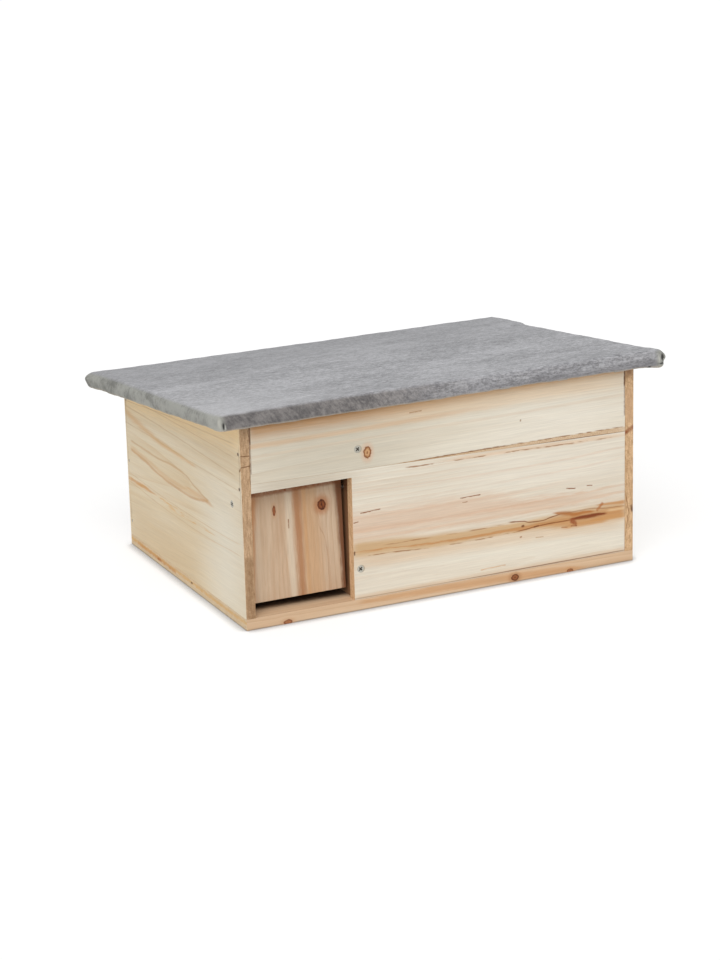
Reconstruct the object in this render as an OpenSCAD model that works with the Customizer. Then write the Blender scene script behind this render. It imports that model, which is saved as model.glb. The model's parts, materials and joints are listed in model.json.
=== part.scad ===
// Hedgehog house: a fir box on a floor board, with a corridor behind a hanging flap
// and a felt-covered roof that falls to the back and hinges up there.
// Millimetres, +Z up, front towards -Y. The origin is on the ground, under the middle of the roof.

/* [Box] */
// Width over the side walls
body_w = 413; // [360:1:480]
// Depth over the front and the back
body_d = 298; // [260:1:350]
// Height of the front's outer top edge above the ground
front_h = 197.5; // [185:0.5:230]
// Fall of the roof towards the back, in degrees
roof_pitch = 5.7; // [3:0.1:7]
// Thickness of the floor board
floor_t = 11; // [8:0.5:15]
// Thickness of the side walls
side_t = 9.5; // [8:0.5:14]
// Thickness of the front boards
front_t = 10; // [8:0.5:14]
// Thickness of the back wall
back_t = 10; // [9:0.5:14]

/* [Entrance] */
// Clear width of the entrance
entrance_w = 101; // [80:1:120]
// Clear height of the entrance above the floor board
entrance_h = 120; // [100:0.5:125]
// Height of the front's glue joint above the entrance, at the left wall
joint_rise = 8.5; // [7:0.5:14]
// Fall of the glue joint from the left wall to the right wall
joint_fall = 6.5; // [0:0.5:6.5]

/* [Partition] */
// Thickness of the partition
partition_t = 9.5; // [8:0.5:14]
// Distance of the partition's left face behind the entrance's right jamb
partition_setback = 2; // [0.5:0.25:4]
// Passage between the partition and the back wall
passage_w = 110; // [90:1:130]
// Air gap between the partition and the roof
partition_air = 2; // [1:0.5:6]

/* [Flap] */
// Thickness of the flap
flap_t = 10; // [8:0.5:12]
// Gap between the flap and each side of the entrance
flap_gap = 1.25; // [0.75:0.25:3]
// Gap between the flap's foot and the floor board
flap_foot_gap = 8; // [5:0.5:20]
// Length of the flap above its pivot line
flap_above = 10; // [7:0.5:12]
// Drop of the pivot line under the entrance's top
pivot_drop = 14.5; // [13:0.5:25]
// Distance of the pivot line in front of the flap's middle plane
pivot_offset = 2; // [0:0.25:2]
// Free space between the swinging flap's head and the front boards
swing_gap = 1.6; // [0.8:0.1:5]

/* [Roof] */
// Overhang of the covered roof at each side
side_overhang = 23.5; // [16:0.5:40]
// Overhang of the covered roof at the front
front_overhang = 12; // [11:0.5:30]
// Overhang of the covered roof at the back
back_overhang = 30; // [29:0.5:32]
// Thickness of the roof board
roof_board_t = 10; // [9:0.5:16]
// Radius of the roof board's long and short edges
roof_edge_r = 2.5; // [1.5:0.25:4]
// Radius of the covered roof's corners, seen from above
roof_corner_r = 5; // [4:0.5:12]
// Thickness of the felt
felt_t = 1.5; // [1:0.1:2.5]
// Width of the felt's hem under the roof board
felt_hem = 8; // [7:0.5:8.5]
// Gap between the closed roof board and the tops of the walls
roof_seat = 0.3; // [0.2:0.05:0.6]

/* [Fasteners] */
// Diameter of the wood screws
screw_d = 3.5; // [3:0.1:3.6]
// Diameter of the wood screws' heads
screw_head_d = 7; // [6:0.1:8]
// Length of the partition screws
screw_l = 32; // [25:0.5:40]
// Height of the upper partition screw above the ground
upper_screw_z = 157.5; // [150:0.5:165]
// Height of the lower partition screw above the ground
lower_screw_z = 41; // [35:0.5:80]
// Length of each pivot screw inside the flap
pivot_grip = 16; // [10:0.5:25]
// Diameter of the nails
nail_d = 1.8; // [1.4:0.1:2.2]
// Diameter of the nails' heads
nail_head_d = 3.4; // [3:0.1:4]
// Height of the nails' heads
nail_head_h = 0.9; // [0.6:0.1:1.4]
// Length of the nails
nail_l = 32; // [25:0.5:40]
// Depth of a nail's head under the surface
nail_sink = 0.3; // [0.1:0.05:0.6]
// Distance of the wall nails from the ends of what they hold
wall_nail_margin = 15; // [8:0.5:25]
// Distance of the floor nails from the ends of what they hold
floor_nail_margin = 45; // [36:0.5:70]
// Distance of the floor nails from the partition's ends
partition_nail_margin = 35; // [25:0.5:60]
// Width of a staple's crown
staple_w = 10; // [8:0.5:12]
// Thickness of the staples' wire
staple_wire = 0.8; // [0.6:0.1:1]
// Depth of the staples' legs in the roof board
staple_bite = 6; // [4:0.5:7]
// Distance between staples
staple_pitch = 62; // [40:1:100]
// Clearance round a fixed fastener, on the radius
fixed_fit = 0.03; // [0.01:0.01:0.05]
// Clearance round a turning pin, on the radius
turning_fit = 0.06; // [0.03:0.01:0.1]

/* [Hinges] */
// Distance of a hinge's middle from the box's side
hinge_inset = 76.5; // [65:0.5:120]
// Length of a hinge along its pin
hinge_l = 40; // [30:1:60]
// Reach of a hinge leaf from the pin's middle
leaf_reach = 15.5; // [13:0.25:16]
// Thickness of a hinge leaf
leaf_t = 1.2; // [0.8:0.1:1.4]
// Outer diameter of the hinge's knuckles
knuckle_d = 5; // [4.6:0.1:5.4]
// Diameter of the hinge pin
pin_d = 2.6; // [2:0.1:3]
// Air gap between the knuckles and the wood
knuckle_air = 0.5; // [0.3:0.05:0.8]
// Gap between neighbouring knuckles
knuckle_gap = 0.4; // [0.2:0.05:0.8]
// Diameter of the hinge screws
leaf_screw_d = 2.4; // [2:0.1:2.8]
// Diameter of the hinge screws' heads
leaf_screw_head_d = 4.6; // [4:0.1:5]
// Length of the hinge screws
leaf_screw_l = 8; // [6:0.5:8.5]

/* [Hidden] */
$fn = 48;

front_wood = "#dccfb4";
side_wood = "#d9c39a";
floor_wood = "#cda882";
flap_wood = "#c79f78";
felt_grey = "#8f8f92";
zinc = "silver";

// Overrun of a cut past the surface that it opens
cut_past = 1;
// Blunt end of a nail or screw, as a share of its diameter
tip_share = 1 / 3;
// Cross recess of a screw, as shares of its head's diameter and height
recess_l_share = 0.6;
recess_w_share = 0.17;
recess_h_share = 0.7;

// The roof in its own tilted frame: its origin is the front's outer top edge, +Y runs down the slope.
felt_r = roof_edge_r + felt_t;
cover_t = roof_board_t + 2 * felt_t;
cover_w = body_w + 2 * side_overhang;
// The lower front edge reaches furthest forward and the upper back edge furthest back.
low_edge_lean = (felt_r - felt_t) * sin(roof_pitch) - felt_r;
high_edge_lean = (roof_board_t + felt_t - felt_r) * sin(roof_pitch) + felt_r;
cover_front = (-front_overhang - low_edge_lean) / cos(roof_pitch) - felt_r;
cover_back = (body_d + back_overhang - high_edge_lean) / cos(roof_pitch) + felt_r;
cover_d = cover_back - cover_front;

// Faces of the box, from the whole roof's plan
plan_d = body_d + front_overhang + back_overhang;
front_y = front_overhang - plan_d / 2;
back_y = front_y + body_d;
left_x = -body_w / 2;
right_x = body_w / 2;
front_in_y = front_y + front_t;
back_in_y = back_y - back_t;
left_in_x = left_x + side_t;
right_in_x = right_x - side_t;
function under_z(y) = front_h - (y - front_y) * tan(roof_pitch);

// Entrance, glue joint and partition
jamb_x = left_in_x + entrance_w;
lintel_z = floor_t + entrance_h;
joint_left_z = lintel_z + joint_rise;
joint_right_z = joint_left_z - joint_fall;
partition_x = jamb_x + partition_setback;
partition_mid_x = partition_x + partition_t / 2;
partition_back_y = back_in_y - passage_w;

// The flap hangs with its weight under the pivot line, so its foot leans out.
pivot_z = lintel_z - pivot_drop;
flap_below = pivot_z - floor_t - flap_foot_gap;
flap_front = flap_t / 2 - pivot_offset;
flap_rear = flap_t / 2 + pivot_offset;
swing_r = norm([flap_rear, flap_above]);
pivot_y = front_in_y + swing_gap + swing_r;
flap_lean = atan(pivot_offset / ((flap_below - flap_above) / 2));
flap_left_x = left_in_x + flap_gap;
flap_right_x = jamb_x - flap_gap;

// Hinge line, the same distance from the back wall and from the roof board
knuckle_r = knuckle_d / 2;
pin_out = knuckle_r + knuckle_air;
pin_y = back_y + pin_out;
pin_z = under_z(pin_y) - pin_out / cos(roof_pitch);
leaf_start = knuckle_r + knuckle_gap;
leaf_screw_reach = (leaf_start + leaf_reach) / 2;
knuckle_l = (hinge_l - 2 * knuckle_gap) / 3;
leaf_screw_x = knuckle_l + knuckle_gap;
hinge_x = [left_x + hinge_inset, right_x - hinge_inset];

// Where the nails go: a row keeps its margin from both ends of what it holds.
function row(from, to, margin, count) =
    [for (i = [0 : count - 1]) from + margin + i * (to - from - 2 * margin) / (count - 1)];
front_nail_y = front_y + front_t / 2;
back_nail_y = back_y - back_t / 2;
left_nail_zs = [(lintel_z + joint_left_z) / 2, (joint_left_z + front_h) / 2];
right_nail_zs = concat(row(floor_t, joint_right_z, wall_nail_margin, 3), [(joint_right_z + front_h) / 2]);
back_nail_zs = row(floor_t, under_z(back_nail_y), wall_nail_margin, 3);
floor_nails_at = concat(
    [for (x = [left_x + side_t / 2, right_x - side_t / 2], y = row(front_y, back_y, floor_nail_margin, 3)) [x, y]],
    [for (x = row(left_in_x, right_in_x, floor_nail_margin, 3)) [x, back_nail_y]],
    [for (x = row(jamb_x, right_in_x, floor_nail_margin, 3)) [x, front_nail_y]],
    [for (y = row(front_in_y, partition_back_y, partition_nail_margin, 2)) [partition_mid_x, y]]);

// Staples sit in the middle of the hem, in the roof's frame.
hem_mid = felt_t + felt_hem / 2;
staple_leg = felt_t + staple_bite;
function spread(span, pitch) = let (count = floor(span / pitch))
    [for (i = [0 : count]) (i - count / 2) * pitch];
staple_run_w = cover_w - 4 * hem_mid - staple_w;
staple_run_d = cover_d - 4 * hem_mid - staple_w;
cover_mid = (cover_front + cover_back) / 2;

module roof_frame() {
    translate([0, front_y, front_h])
        rotate([-roof_pitch, 0, 0])
            children();
}

// An outline in Y and Z, carried along X
module carried_along_x(from, to) {
    translate([from, 0, 0])
        rotate([90, 0, 90])
            linear_extrude(to - from)
                children();
}

// An outline in X and Z, carried along Y
module carried_along_y(from, to) {
    translate([0, to, 0])
        rotate([90, 0, 0])
            linear_extrude(to - from)
                children();
}

// A board's section from front to back, with its top cut along the roof
module section_under_roof(y0, y1, z0, drop = roof_seat) {
    polygon([[y0, z0], [y1, z0], [y1, under_z(y1) - drop], [y0, under_z(y0) - drop]]);
}

module rounded_rect(w, h, r) {
    translate([r, 0])
        square([w - 2 * r, h]);
    translate([0, r])
        square([w, h - 2 * r]);
    for (x = [r, w - r], y = [r, h - r])
        translate([x, y])
            circle(r);
}

// A slab with round edges and corners, its low front left corner at the origin
module eased_slab(w, d, t, edge_r, corner_r) {
    intersection() {
        carried_along_x(0, w)
            rounded_rect(d, t, edge_r);
        carried_along_y(0, d)
            rounded_rect(w, t, edge_r);
        linear_extrude(t)
            rounded_rect(w, d, corner_r);
    }
}

// A nail from the origin along +Z, its head just under the surface
module nail(grow = 0) {
    open = grow > 0 ? nail_sink + cut_past : 0;
    translate([0, 0, nail_sink - open])
        cylinder(h = nail_head_h + open, d = nail_head_d + 2 * grow);
    translate([0, 0, nail_sink])
        cylinder(h = nail_l - nail_d - nail_sink, d = nail_d + 2 * grow);
    translate([0, 0, nail_l - nail_d])
        cylinder(h = nail_d + grow, d1 = nail_d + 2 * grow, d2 = tip_share * nail_d + 2 * grow);
}

// A countersunk screw from the origin along +Z, its head flush with the surface
module screw(length, d, head_d, grow = 0) {
    head_h = (head_d - d) / 2;
    difference() {
        union() {
            if (grow > 0)
                translate([0, 0, -cut_past])
                    cylinder(h = cut_past, d = head_d + 2 * grow);
            cylinder(h = head_h, d1 = head_d + 2 * grow, d2 = d + 2 * grow);
            cylinder(h = length - d, d = d + 2 * grow);
            translate([0, 0, length - d])
                cylinder(h = d + grow, d1 = d + 2 * grow, d2 = tip_share * d + 2 * grow);
        }
        if (grow == 0)
            cross_recess(head_d, head_h);
    }
}

module cross_recess(head_d, head_h) {
    slot_l = recess_l_share * head_d;
    slot_w = recess_w_share * head_d;
    slot_h = recess_h_share * head_h;
    for (turn = [45, 135])
        rotate([0, 0, turn])
            translate([-slot_l / 2, -slot_w / 2, -cut_past])
                cube([slot_l, slot_w, slot_h + cut_past]);
}

// The nails through both side walls into the ends of the front boards
module front_nail_set(grow = 0) {
    for (z = left_nail_zs)
        translate([left_x, front_nail_y, z])
            rotate([0, 90, 0])
                nail(grow);
    for (z = right_nail_zs)
        translate([right_x, front_nail_y, z])
            rotate([0, -90, 0])
                nail(grow);
}

module back_nail_set(grow = 0) {
    for (z = back_nail_zs) {
        translate([left_x, back_nail_y, z])
            rotate([0, 90, 0])
                nail(grow);
        translate([right_x, back_nail_y, z])
            rotate([0, -90, 0])
                nail(grow);
    }
}

module floor_nail_set(grow = 0) {
    for (at = floor_nails_at)
        translate([at[0], at[1], 0])
            nail(grow);
}

module partition_screw_set(grow = 0) {
    for (z = [lower_screw_z, upper_screw_z])
        translate([partition_mid_x, front_y, z])
            rotate([-90, 0, 0])
                screw(screw_l, screw_d, screw_head_d, grow);
}

module left_pivot(grow = 0) {
    translate([left_x, pivot_y, pivot_z])
        rotate([0, 90, 0])
            screw(flap_left_x - left_x + pivot_grip, screw_d, screw_head_d, grow);
}

module right_pivot(grow = 0) {
    translate([partition_x + partition_t, pivot_y, pivot_z])
        rotate([0, -90, 0])
            screw(partition_x + partition_t - flap_right_x + pivot_grip, screw_d, screw_head_d, grow);
}

// One U-shaped staple from below into +Z, its crown along X under the hem
module staple(grow = 0) {
    wire = staple_wire + 2 * grow;
    for (side = [-1, 1])
        translate([side * (staple_w - staple_wire) / 2 - wire / 2, -wire / 2, -grow])
            cube([wire, wire, staple_leg + 2 * grow]);
    translate([-staple_w / 2 - grow, -wire / 2, -staple_wire - grow])
        cube([staple_w + 2 * grow, wire, staple_wire + grow]);
}

// The staples follow the hem along all four edges.
module staple_set(grow = 0) {
    for (x = spread(staple_run_w, staple_pitch), y = [cover_front + hem_mid, cover_back - hem_mid])
        translate([x, y, -felt_t])
            staple(grow);
    for (y = spread(staple_run_d, staple_pitch), x = [-cover_w / 2 + hem_mid, cover_w / 2 - hem_mid])
        translate([x, cover_mid + y, -felt_t])
            rotate([0, 0, 90])
                staple(grow);
}

// One leaf with its knuckles, pin along X: the leaf lies above the pin and runs to +Y.
module hinge_leaf(knuckle_places) {
    difference() {
        union() {
            translate([-hinge_l / 2, leaf_start, pin_out - leaf_t])
                cube([hinge_l, leaf_reach - leaf_start, leaf_t]);
            for (place = knuckle_places)
                translate([place * (knuckle_l + knuckle_gap), 0, 0]) {
                    rotate([0, 90, 0])
                        cylinder(h = knuckle_l, d = knuckle_d, center = true);
                    translate([-knuckle_l / 2, 0, pin_out - leaf_t])
                        cube([knuckle_l, leaf_start + cut_past, leaf_t]);
                }
        }
        rotate([0, 90, 0])
            cylinder(h = hinge_l + 2 * cut_past, d = pin_d + 2 * turning_fit, center = true);
        leaf_screw_set(fixed_fit);
    }
}

// The two screws of one leaf, driven from the leaf's pin side into the wood
module leaf_screw_set(grow = 0) {
    for (side = [-1, 1])
        translate([side * leaf_screw_x, leaf_screw_reach, pin_out - leaf_t])
            screw(leaf_screw_l, leaf_screw_d, leaf_screw_head_d, grow);
}

// The hinge's frame for the leaf under the roof, and for the leaf on the back wall
module roof_leaf_frame(x) {
    translate([x, pin_y, pin_z])
        rotate([-roof_pitch, 0, 0])
            children();
}

module wall_leaf_frame(x) {
    translate([x, pin_y, pin_z])
        rotate([90, 0, 0])
            mirror([0, 1, 0])
                children();
}

module wall_leaf_screw_set(grow = 0) {
    for (x = hinge_x)
        wall_leaf_frame(x)
            leaf_screw_set(grow);
}

module roof_leaf_screw_set(grow = 0) {
    for (x = hinge_x)
        roof_leaf_frame(x)
            leaf_screw_set(grow);
}

module hinge_pin(x) {
    color(zinc)
        translate([x, pin_y, pin_z])
            rotate([0, 90, 0])
                cylinder(h = hinge_l, d = pin_d, center = true);
}

module floor_board() {
    color(floor_wood)
        difference() {
            translate([left_x, front_y, 0])
                cube([body_w, body_d, floor_t]);
            floor_nail_set(fixed_fit);
        }
}

module side_wall(from, to) {
    color(side_wood)
        difference() {
            carried_along_x(from, to)
                section_under_roof(front_y, back_y, floor_t);
            front_nail_set(fixed_fit);
            back_nail_set(fixed_fit);
            floor_nail_set(fixed_fit);
            left_pivot(fixed_fit);
        }
}

module left_wall() {
    side_wall(left_x, left_in_x);
}

module right_wall() {
    side_wall(right_in_x, right_x);
}

module back_wall() {
    color(side_wood)
        difference() {
            carried_along_x(left_in_x, right_in_x)
                section_under_roof(back_in_y, back_y, floor_t);
            back_nail_set(fixed_fit);
            floor_nail_set(fixed_fit);
            wall_leaf_screw_set(fixed_fit);
        }
}

// The front's outline above or below the glue joint
module above_joint() {
    polygon([[left_in_x, joint_left_z], [right_in_x, joint_right_z], [right_in_x, front_h], [left_in_x, front_h]]);
}

module below_joint() {
    polygon([[jamb_x, floor_t], [right_in_x, floor_t], [right_in_x, joint_right_z],
        [left_in_x, joint_left_z], [left_in_x, lintel_z], [jamb_x, lintel_z]]);
}

module front_upper_board() {
    color(front_wood)
        difference() {
            intersection() {
                carried_along_y(front_y, front_in_y)
                    above_joint();
                carried_along_x(left_in_x, right_in_x)
                    section_under_roof(front_y, front_in_y, floor_t);
            }
            front_nail_set(fixed_fit);
            partition_screw_set(fixed_fit);
        }
}

module front_lower_board() {
    color(front_wood)
        difference() {
            carried_along_y(front_y, front_in_y)
                below_joint();
            front_nail_set(fixed_fit);
            floor_nail_set(fixed_fit);
            partition_screw_set(fixed_fit);
        }
}

module partition_wall() {
    color(side_wood)
        difference() {
            carried_along_x(partition_x, partition_x + partition_t)
                section_under_roof(front_in_y, partition_back_y, floor_t, partition_air);
            floor_nail_set(fixed_fit);
            partition_screw_set(fixed_fit);
            right_pivot(fixed_fit);
        }
}

module entrance_flap() {
    color(flap_wood)
        difference() {
            translate([flap_left_x, pivot_y, pivot_z])
                rotate([-flap_lean, 0, 0])
                    translate([0, -flap_front, -flap_below])
                        cube([flap_right_x - flap_left_x, flap_t, flap_below + flap_above]);
            left_pivot(turning_fit);
            right_pivot(turning_fit);
        }
}

module left_pivot_screw() {
    color(zinc)
        left_pivot();
}

module right_pivot_screw() {
    color(zinc)
        right_pivot();
}

module partition_screws() {
    color(zinc)
        partition_screw_set();
}

module front_corner_nails() {
    color(zinc)
        front_nail_set();
}

module back_corner_nails() {
    color(zinc)
        back_nail_set();
}

module floor_nails() {
    color(zinc)
        floor_nail_set();
}

module roof_board() {
    color(side_wood)
        difference() {
            roof_frame()
                roof_core();
            roof_frame()
                staple_set(fixed_fit);
            roof_leaf_screw_set(fixed_fit);
        }
}

module roof_core() {
    translate([felt_t - cover_w / 2, cover_front + felt_t, 0])
        eased_slab(cover_w - 2 * felt_t, cover_d - 2 * felt_t, roof_board_t, roof_edge_r, roof_corner_r - felt_t);
}

// The felt wraps the board's top and edges, and its hem lies under the board.
module roof_felt() {
    color(felt_grey)
        roof_frame()
            difference() {
                translate([-cover_w / 2, cover_front, -felt_t])
                    eased_slab(cover_w, cover_d, cover_t, felt_r, roof_corner_r);
                roof_core();
                hem_window();
                staple_set(fixed_fit);
            }
}

module hem_window() {
    hem_edge = felt_t + felt_hem;
    translate([hem_edge - cover_w / 2, cover_front + hem_edge, -felt_t - cut_past])
        cube([cover_w - 2 * hem_edge, cover_d - 2 * hem_edge, felt_t + 2 * cut_past]);
}

module felt_staples() {
    color(zinc)
        roof_frame()
            staple_set();
}

module left_hinge_wall_leaf() {
    color(zinc)
        wall_leaf_frame(hinge_x[0])
            hinge_leaf([-1, 1]);
}

module left_hinge_roof_leaf() {
    color(zinc)
        roof_leaf_frame(hinge_x[0])
            hinge_leaf([0]);
}

module left_hinge_pin() {
    hinge_pin(hinge_x[0]);
}

module right_hinge_wall_leaf() {
    color(zinc)
        wall_leaf_frame(hinge_x[1])
            hinge_leaf([-1, 1]);
}

module right_hinge_roof_leaf() {
    color(zinc)
        roof_leaf_frame(hinge_x[1])
            hinge_leaf([0]);
}

module right_hinge_pin() {
    hinge_pin(hinge_x[1]);
}

module wall_leaf_screws() {
    color(zinc)
        wall_leaf_screw_set();
}

module roof_leaf_screws() {
    color(zinc)
        roof_leaf_screw_set();
}

floor_board();
left_wall();
right_wall();
back_wall();
front_upper_board();
front_lower_board();
partition_wall();
entrance_flap();
left_pivot_screw();
right_pivot_screw();
partition_screws();
front_corner_nails();
back_corner_nails();
floor_nails();
roof_board();
roof_felt();
felt_staples();
left_hinge_wall_leaf();
left_hinge_roof_leaf();
left_hinge_pin();
right_hinge_wall_leaf();
right_hinge_roof_leaf();
right_hinge_pin();
wall_leaf_screws();
roof_leaf_screws();
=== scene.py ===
import json
import math

import bmesh
import bpy
import numpy as np
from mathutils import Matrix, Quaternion, Vector


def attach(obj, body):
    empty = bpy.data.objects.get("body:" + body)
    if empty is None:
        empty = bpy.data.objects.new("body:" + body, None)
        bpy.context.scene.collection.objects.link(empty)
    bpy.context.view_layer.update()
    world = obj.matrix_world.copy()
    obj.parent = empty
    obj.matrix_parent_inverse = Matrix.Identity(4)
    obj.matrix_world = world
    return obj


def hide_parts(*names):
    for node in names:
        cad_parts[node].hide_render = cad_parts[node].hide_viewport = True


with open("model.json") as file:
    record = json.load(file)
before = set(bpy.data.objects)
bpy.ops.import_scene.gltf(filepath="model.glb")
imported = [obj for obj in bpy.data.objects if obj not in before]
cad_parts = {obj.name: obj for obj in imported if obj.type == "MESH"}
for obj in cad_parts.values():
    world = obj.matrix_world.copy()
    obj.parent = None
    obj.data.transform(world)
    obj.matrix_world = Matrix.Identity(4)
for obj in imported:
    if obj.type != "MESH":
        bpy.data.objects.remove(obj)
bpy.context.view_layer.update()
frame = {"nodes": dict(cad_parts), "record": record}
scene = bpy.context.scene
mmPerMetre = 1000.0
print("frame loaded")

# The camera stands where the photograph was taken from, with its slight tilt to the side.
photoCamera = {
    "place": (-1.08446, -2.28765, 0.83838),
    "forward": (0.405829, 0.866931, -0.289367),
    "rollDegrees": -1.507,
    "lens": 99.535,
}


def makeCamera(spec):
    # Turned so that it looks along forward, then rolled about that line.
    data = bpy.data.cameras.new("photo_camera")
    data.lens = spec["lens"]
    data.sensor_width = 36.0
    data.clip_start = 0.01
    camera = bpy.data.objects.new("photo_camera", data)
    scene.collection.objects.link(camera)
    aim = Vector(spec["forward"]).to_track_quat("-Z", "Y")
    roll = Quaternion((0.0, 0.0, 1.0), math.radians(spec["rollDegrees"]))
    camera.rotation_mode = "QUATERNION"
    camera.rotation_quaternion = aim @ roll
    camera.location = spec["place"]
    scene.camera = camera


makeCamera(photoCamera)
scene.view_settings.view_transform = "Standard"
print("camera made")


class Wire:
    # A shader socket that can stand in a sum.
    def __init__(self, paint, socket):
        self.paint = paint
        self.socket = socket

    def math(self, operation, *others):
        return self.paint.math(operation, self, *others)

    def __add__(self, other):
        return self.math("ADD", other)

    __radd__ = __add__

    def __sub__(self, other):
        return self.math("SUBTRACT", other)

    def __rsub__(self, other):
        return self.paint.math("SUBTRACT", other, self)

    def __mul__(self, other):
        return self.math("MULTIPLY", other)

    __rmul__ = __mul__

    def __truediv__(self, other):
        return self.math("DIVIDE", other)

    def __rtruediv__(self, other):
        return self.paint.math("DIVIDE", other, self)

    def __pow__(self, other):
        return self.math("POWER", other)

    def __abs__(self):
        return self.math("ABSOLUTE")


class Paint:
    # The nodes of one material or of the world.
    def __init__(self, owner):
        owner.use_nodes = True
        self.owner = owner
        self.tree = owner.node_tree
        self.tree.nodes.clear()

    def node(self, kind, settings, sockets):
        # One node, with each socket wired or set.
        made = self.tree.nodes.new("ShaderNode" + kind)
        for key, value in settings.items():
            setattr(made, key, value)
        for key, value in sockets.items():
            if isinstance(value, Wire):
                self.tree.links.new(value.socket, made.inputs[key])
            else:
                made.inputs[key].default_value = value
        return made

    def wire(self, made, output=0):
        return Wire(self, made.outputs[output])

    def math(self, operation, *terms):
        return self.wire(self.node("Math", {"operation": operation}, dict(enumerate(terms))))

    def ramp(self, value, start, end, low=0.0, high=1.0):
        # A smooth step from low at start to high at end.
        ends = {"Value": value, "From Min": start, "From Max": end, "To Min": low, "To Max": high}
        return self.wire(self.node("MapRange", {"interpolation_type": "SMOOTHSTEP"}, ends))

    def noise(self, point, detail=2.0, roughness=0.5, scale=1.0):
        # The point is a wire or three parts.
        if not isinstance(point, Wire):
            point = self.wire(self.node("CombineXYZ", {}, dict(enumerate(point))))
        sockets = {"Vector": point, "Scale": scale, "Detail": detail, "Roughness": roughness}
        return self.wire(self.node("TexNoise", {}, sockets))

    def mix(self, factor, first, second, blend="MIX"):
        # The first colour at factor 0, the second at 1. Each is a wire or a tone.
        settings = {"data_type": "RGBA", "blend_type": blend}
        first, second = (end if isinstance(end, Wire) else tone(*end) for end in (first, second))
        return self.wire(self.node("Mix", settings, {0: factor, 6: first, 7: second}), 2)

    def grey(self, value):
        # The same value in red, green and blue.
        return self.wire(self.node("CombineColor", {}, {0: value, 1: value, 2: value}))

    def curve(self, value, points):
        # A smooth line through the points, level beyond its ends.
        places = [point[0] for point in points]
        heights = [point[1] for point in points]
        start, span = places[0], places[-1] - places[0]
        base, rise = min(heights), max(max(heights) - min(heights), 0.001)
        made = self.node("FloatCurve", {}, {"Value": (value - start) / span})
        line = made.mapping.curves[0]
        scaled = [((x - start) / span, (y - base) / rise) for x, y in points]
        line.points[0].location = scaled[0]
        line.points[-1].location = scaled[-1]
        for x, y in scaled[1:-1]:
            line.points.new(x, y)
        for point in line.points:
            point.handle_type = "AUTO_CLAMPED"
        made.mapping.update()
        return self.wire(made) * rise + base

    def seen(self):
        # 1 for what the camera sees, straight or mirrored, and 0 for bounced light.
        path = self.node("LightPath", {}, {})
        direct, mirrored = self.wire(path, "Is Camera Ray"), self.wire(path, "Is Glossy Ray")
        return direct + mirrored + self.wire(path, "Is Transmission Ray")

    def finish(self, colour, roughness, height, relief, fixed):
        # A plain surface whose height is a bump, relief metres deep.
        bump = self.node("Bump", {}, {"Strength": 1.0, "Distance": relief, "Height": height})
        sockets = {"Base Color": colour, "Roughness": roughness, "Normal": self.wire(bump)}
        shader = self.node("BsdfPrincipled", {}, {**sockets, **fixed})
        self.node("OutputMaterial", {}, {"Surface": self.wire(shader)})
        return self.owner


def newPaint(name):
    # The nodes of a new material.
    return Paint(bpy.data.materials.new(name))


def tone(red, green, blue):
    # A colour as a screen shows it, 0 to 255, as the shader's linear one.
    screen = np.array([red, green, blue]) / 255.0
    linear = np.where(screen <= 0.04045, screen / 12.92, ((screen + 0.055) / 1.055) ** 2.4)
    return (*linear.tolist(), 1.0)


# What all the boards share, where a board says nothing else.
fir = {
    "relief": 0.00012,
    "shine": 0.25,
    "fibre": 0.2,
    "saw": (0.12, 0.6),
    "ease": 0.0004,
    "facing": (0.55, 0.85),
    "haloReach": 2.4,
    "haloStrength": 0.6,
}


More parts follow.
